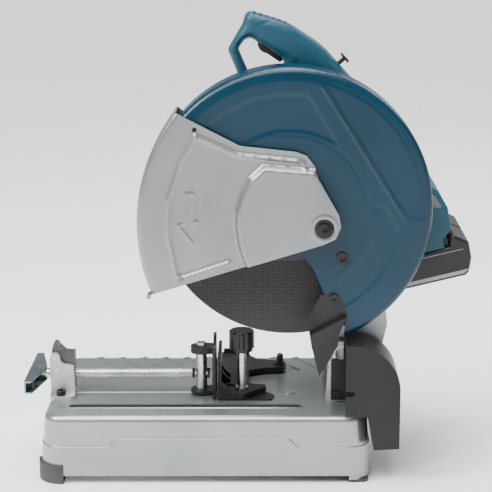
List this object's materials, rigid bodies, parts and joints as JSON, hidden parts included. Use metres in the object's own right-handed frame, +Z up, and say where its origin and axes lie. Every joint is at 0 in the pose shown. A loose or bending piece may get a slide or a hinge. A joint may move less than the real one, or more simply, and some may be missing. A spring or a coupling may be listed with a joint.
{
  "type": "abrasive cut-off saw",
  "caption": "Cordless abrasive cut-off saw: pivoting head with a guarded cutting wheel over a pressed base with a screw vise.",
  "frame": {"origin": "on the floor, midway between the two bench bolt holes in the base's ends", "axes": "+X along the base from the vise handle to the head's pivot, +Y from the wheel side to the motor side, +Z up"},
  "size_m": [0.6165, 0.2798, 0.6376],
  "materials": {
    "abrasive": "resin-bonded abrasive",
    "base_paint": "satin silver-grey paint on pressed steel",
    "black_cast": "black painted casting",
    "black_plastic": "black moulded plastic",
    "black_steel": "black painted steel",
    "cast_alloy": "die-cast aluminium",
    "dark_bolt": "blackened steel",
    "dark_paint": "dark grey painted steel",
    "grey_plastic": "grey moulded plastic",
    "guard_blue": "semi-gloss petrol-blue paint",
    "guard_silver": "satin silver paint",
    "rubber": "moulded rubber",
    "steel": "machined steel",
    "teal_plastic": "fine-grained moulded plastic",
    "winding": "laminated iron with copper windings",
    "zinc": "bright zinc plating"
  },
  "bodies": {
    "root": {"base_shell": "base_paint", "front_feet": "rubber", "rear_feet": "rubber", "pivot_bracket": "cast_alloy", "bracket_bolts": "dark_bolt", "pivot_shaft": "steel", "lift_spring": "steel", "vise_holder": "cast_alloy", "holder_bolts": "dark_bolt", "holder_pins": "zinc", "base_screw": "zinc", "clamp_stud": "zinc", "guide_pivot": "dark_bolt", "angle_scale": "black_steel", "spark_box": "dark_paint", "spark_box_bolts": "dark_bolt"},
    "release_lever": {"nut_lever": "black_steel"},
    "guide": {"guide_plate": "black_cast", "guide_post": "black_plastic"},
    "knob": {"clamp_knob": "black_plastic"},
    "vise_jaw": {"vise_plate": "black_steel", "vise_pin": "zinc"},
    "screw": {"vise_screw": "zinc", "vise_nuts": "dark_bolt", "vise_handle": "guard_blue", "handle_rivet": "zinc"},
    "head": {"swing_arm": "cast_alloy", "gear_cover": "cast_alloy", "wheel_guard": "guard_blue", "guard_bolts": "dark_bolt", "spark_flap": "black_steel", "safety_guard_bolt": "dark_bolt", "motor_housing": "teal_plastic", "end_cover": "black_plastic", "stator": "winding", "handle_near_half": "teal_plastic", "handle_far_half": "teal_plastic", "handle_screws": "dark_bolt", "switch_unit": "black_plastic", "chain_hook": "black_plastic", "battery_housing": "teal_plastic", "terminal_blocks": "black_plastic", "indicator_panel": "grey_plastic", "ball_bearings": "steel"},
    "wheel": {"cutting_wheel": "abrasive", "inner_flange": "steel", "outer_flange": "steel", "wheel_bolt": "dark_bolt", "spindle": "steel", "ring_gear": "steel"},
    "rotor": {"rotor": "steel", "cooling_fan": "grey_plastic"},
    "safety": {"safety_guard": "guard_silver"},
    "trigger": {"trigger": "black_plastic"},
    "lock_off": {"lock_off_button": "black_plastic"},
    "shaft_lock": {"shaft_lock": "black_plastic"},
    "pack_near": {"battery_near": "black_plastic"},
    "pack_far": {"battery_far": "black_plastic"},
    "pack_near_latch": {"battery_near_button": "grey_plastic"},
    "pack_far_latch": {"battery_far_button": "grey_plastic"}
  },
  "joints": [
    {"name": "head_swing", "type": "hinge", "parent": "root", "child": "head", "pos_m": [0.189, -0.01, 0.165], "axis": [0, -1, 0], "range_deg": [0, 44], "stiffness_Nm_per_rad": 9, "springref_deg": -68.75},
    {"name": "wheel_spin", "type": "hinge", "parent": "head", "child": "wheel", "pos_m": [0.114, -0.088, 0.38], "axis": [0, -1, 0], "continuous": true},
    {"name": "rotor_spin", "type": "hinge", "parent": "head", "child": "rotor", "pos_m": [0.14754, -0.028, 0.40349], "axis": [0, -1, 0], "continuous": true},
    {"name": "safety_guard_swing", "type": "hinge", "parent": "head", "child": "safety", "pos_m": [0.16, -0.124, 0.361], "axis": [0, 1, 0], "range_deg": [0, 42]},
    {"name": "trigger_press", "type": "slide", "parent": "head", "child": "trigger", "axis": [0.654, 0, 0.7565], "range_m": [0, 0.004], "stiffness_N_per_m": 800, "springref_m": -0.004},
    {"name": "lock_off_press", "type": "slide", "parent": "head", "child": "lock_off", "axis": [0, -1, 0], "range_m": [0, 0.003], "stiffness_N_per_m": 800, "springref_m": -0.003},
    {"name": "shaft_lock_press", "type": "slide", "parent": "head", "child": "shaft_lock", "axis": [1, 0, 0], "range_m": [0, 0.006], "stiffness_N_per_m": 800, "springref_m": -0.003},
    {"name": "pack_near_slide", "type": "slide", "parent": "head", "child": "pack_near", "axis": [0.9711, 0, 0.2385], "range_m": [0, 0.1]},
    {"name": "pack_far_slide", "type": "slide", "parent": "head", "child": "pack_far", "axis": [0.9711, 0, 0.2385], "range_m": [0, 0.1]},
    {"name": "pack_near_release", "type": "slide", "parent": "pack_near", "child": "pack_near_latch", "axis": [-0.9711, 0, -0.2385], "range_m": [0, 0.0025], "stiffness_N_per_m": 800, "springref_m": -0.003},
    {"name": "pack_far_release", "type": "slide", "parent": "pack_far", "child": "pack_far_latch", "axis": [-0.9711, 0, -0.2385], "range_m": [0, 0.0025], "stiffness_N_per_m": 800, "springref_m": -0.003},
    {"name": "vise_travel", "type": "slide", "parent": "root", "child": "vise_jaw", "axis": [-1, 0, 0], "range_m": [0, 0.155]},
    {"name": "vise_screw_turn", "type": "hinge", "parent": "vise_jaw", "child": "screw", "pos_m": [-0.1, -0.033, 0.125], "axis": [1, 0, 0], "continuous": true},
    {"name": "release_lever_flip", "type": "hinge", "parent": "root", "child": "release_lever", "pos_m": [-0.214, -0.033, 0.151], "axis": [0, -1, 0], "range_deg": [0, 50]},
    {"name": "guide_swivel", "type": "hinge", "parent": "root", "child": "guide", "pos_m": [0.024, -0.058, 0.1], "axis": [0, 0, -1], "range_deg": [0, 30]},
    {"name": "clamp_knob_turn", "type": "hinge", "parent": "root", "child": "knob", "pos_m": [0.04902, -0.042, 0.17], "axis": [0, 0, 1], "continuous": true}
  ],
  "couplings": [
    {"joint": "rotor_spin", "follows": "wheel_spin", "ratio": -4.1},
    {"joint": "safety_guard_swing", "follows": "head_swing", "ratio": 0.93}
  ]
}
